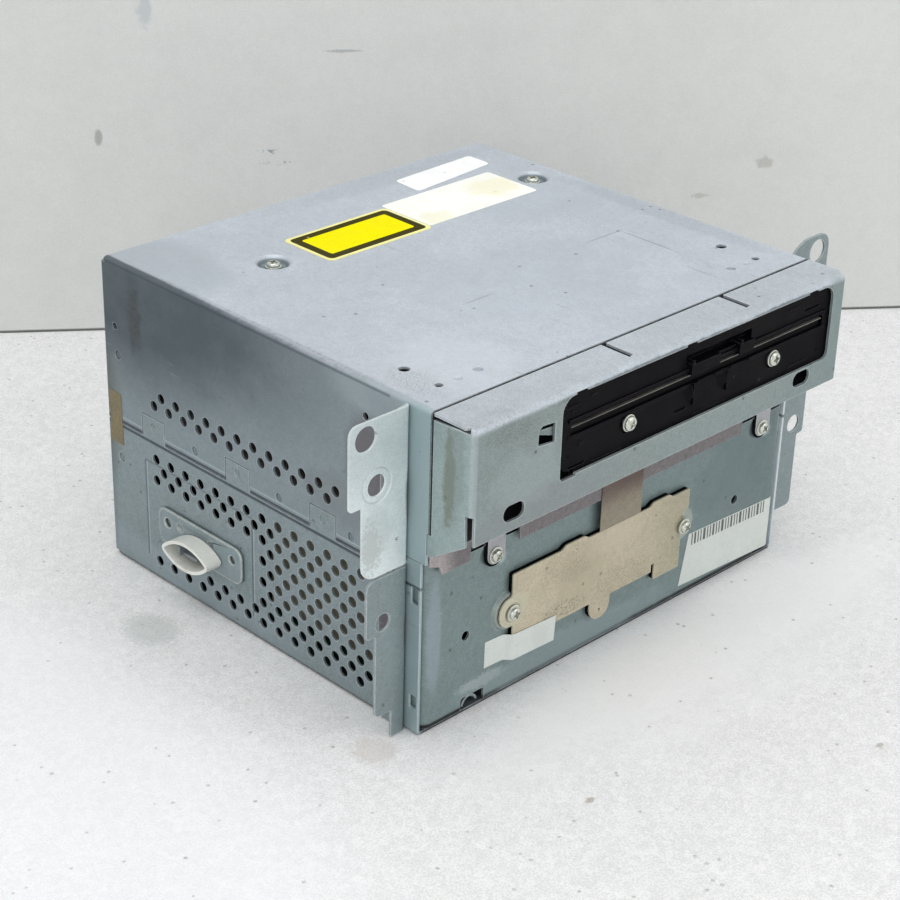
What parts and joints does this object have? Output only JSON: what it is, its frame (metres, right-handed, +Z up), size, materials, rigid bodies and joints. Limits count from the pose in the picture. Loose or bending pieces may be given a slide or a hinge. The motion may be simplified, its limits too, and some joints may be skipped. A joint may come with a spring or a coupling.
{
  "type": "car navigation unit",
  "caption": "Double-height car navigation unit: a perforated folded-steel case with a disc slot shroud, four mounting ears, a disk bay and a rear harness socket.",
  "frame": {"origin": "centre of the case's flat bottom face", "axes": "+X to the right seen from the front, +Y to the back, +Z up; the disc slot faces -Y"},
  "size_m": [0.2278, 0.182, 0.1167],
  "materials": {
    "zinc_sheet": "galvanised steel sheet with a faint spangle, scuffed",
    "front_zinc": "galvanised steel sheet, greenish grey, scuffed",
    "ear_zinc": "bright galvanised steel sheet",
    "bare_steel": "passivated steel, warm grey with light rust",
    "screw_steel": "bright plated screw",
    "black_plastic": "black moulded plastic",
    "white_plastic": "off-white moulded plastic",
    "rubber": "black rubber",
    "circuit_board": "green solder mask",
    "cast_metal": "plain aluminium",
    "bright_steel": "ground and polished steel",
    "gear_plastic": "natural acetal",
    "lens_assembly": "dark holder with a clear lens",
    "flex_film": "amber flexible film"
  },
  "bodies": {
    "unit": {"top_cover": "zinc_sheet", "lower_tray": "zinc_sheet", "rear_panel": "zinc_sheet", "drive_shroud": "front_zinc", "slot_bezel": "black_plastic", "lower_front_panel": "front_zinc", "disk_bay_cover": "bare_steel", "upper_left_ear": "ear_zinc", "lower_left_ear": "front_zinc", "upper_right_ear": "front_zinc", "lower_right_ear": "front_zinc", "side_boss_plate": "zinc_sheet", "side_locating_boss": "white_plastic", "top_screw_left": "screw_steel", "top_screw_right": "screw_steel", "bezel_screw_left": "screw_steel", "bezel_screw_right": "screw_steel", "panel_screw_left": "screw_steel", "panel_screw_right": "screw_steel", "bay_cover_screw_left": "screw_steel", "bay_cover_screw_right": "screw_steel", "rear_screw_left": "screw_steel", "rear_screw_right": "screw_steel", "drive_deck": "front_zinc", "drive_chassis": "zinc_sheet", "drive_top_plate": "zinc_sheet", "drive_damper_front_left": "rubber", "drive_damper_front_right": "rubber", "drive_damper_rear_left": "rubber", "drive_damper_rear_right": "rubber", "cover_brace_left": "zinc_sheet", "cover_brace_right": "zinc_sheet", "loading_motor": "cast_metal", "traverse_plate": "zinc_sheet", "guide_rod_left": "bright_steel", "guide_rod_right": "bright_steel", "feed_motor": "cast_metal", "spindle_motor": "cast_metal", "clamp_pin": "bright_steel", "main_board": "circuit_board", "heat_sink": "cast_metal", "receiver_can": "bright_steel", "capacitor": "cast_metal", "hard_disk": "cast_metal", "disk_caddy": "zinc_sheet", "fan_frame": "black_plastic", "harness_socket": "black_plastic", "aerial_jack": "bright_steel", "position_jack": "bright_steel", "drive_flex": "flex_film"},
    "roller": {"loading_roller": "rubber", "roller_gear": "gear_plastic"},
    "worm": {"loading_worm": "gear_plastic"},
    "turntable": {"turntable": "black_plastic"},
    "clamp_arm": {"clamp_arm": "zinc_sheet"},
    "clamp_puck": {"clamp_puck": "black_plastic"},
    "sled": {"pickup_sled": "cast_metal"},
    "lens": {"pickup_lens": "lens_assembly"},
    "feed_screw": {"feed_screw": "bright_steel"},
    "fan": {"fan_rotor": "black_plastic"}
  },
  "joints": [
    {"name": "roller_spin", "type": "hinge", "parent": "unit", "child": "roller", "pos_m": [0.0155, -0.071, 0.096], "axis": [1, 0, 0], "continuous": true},
    {"name": "worm_spin", "type": "hinge", "parent": "unit", "child": "worm", "pos_m": [-0.0583, -0.071, 0.0847], "axis": [0, 1, 0], "continuous": true},
    {"name": "turntable_spin", "type": "hinge", "parent": "unit", "child": "turntable", "pos_m": [0.0155, -0.014, 0.095], "axis": [0, 0, 1], "continuous": true},
    {"name": "clamp_lift", "type": "hinge", "parent": "unit", "child": "clamp_arm", "pos_m": [0.0155, 0.05, 0.1082], "axis": [-1, 0, 0], "range_deg": [0, 2.7]},
    {"name": "puck_spin", "type": "hinge", "parent": "clamp_arm", "child": "clamp_puck", "pos_m": [0.0155, -0.014, 0.105], "axis": [0, 0, 1], "continuous": true},
    {"name": "sled_travel", "type": "slide", "parent": "unit", "child": "sled", "axis": [0, 1, 0], "range_m": [0, 0.034]},
    {"name": "lens_focus", "type": "slide", "parent": "sled", "child": "lens", "axis": [0, 0, 1], "range_m": [-0.0006, 0.0006], "stiffness_N_per_m": 60},
    {"name": "feed_screw_spin", "type": "hinge", "parent": "unit", "child": "feed_screw", "pos_m": [0.0515, 0, 0.0882], "axis": [0, 1, 0], "range_deg": [0, 4080]},
    {"name": "fan_spin", "type": "hinge", "parent": "unit", "child": "fan", "pos_m": [-0.052, 0.0724, 0.03399], "axis": [0, 1, 0], "continuous": true}
  ],
  "couplings": [
    {"joint": "worm_spin", "follows": "roller_spin", "ratio": 16},
    {"joint": "feed_screw_spin", "follows": "sled_travel", "rad_per_m": 2094.4}
  ]
}
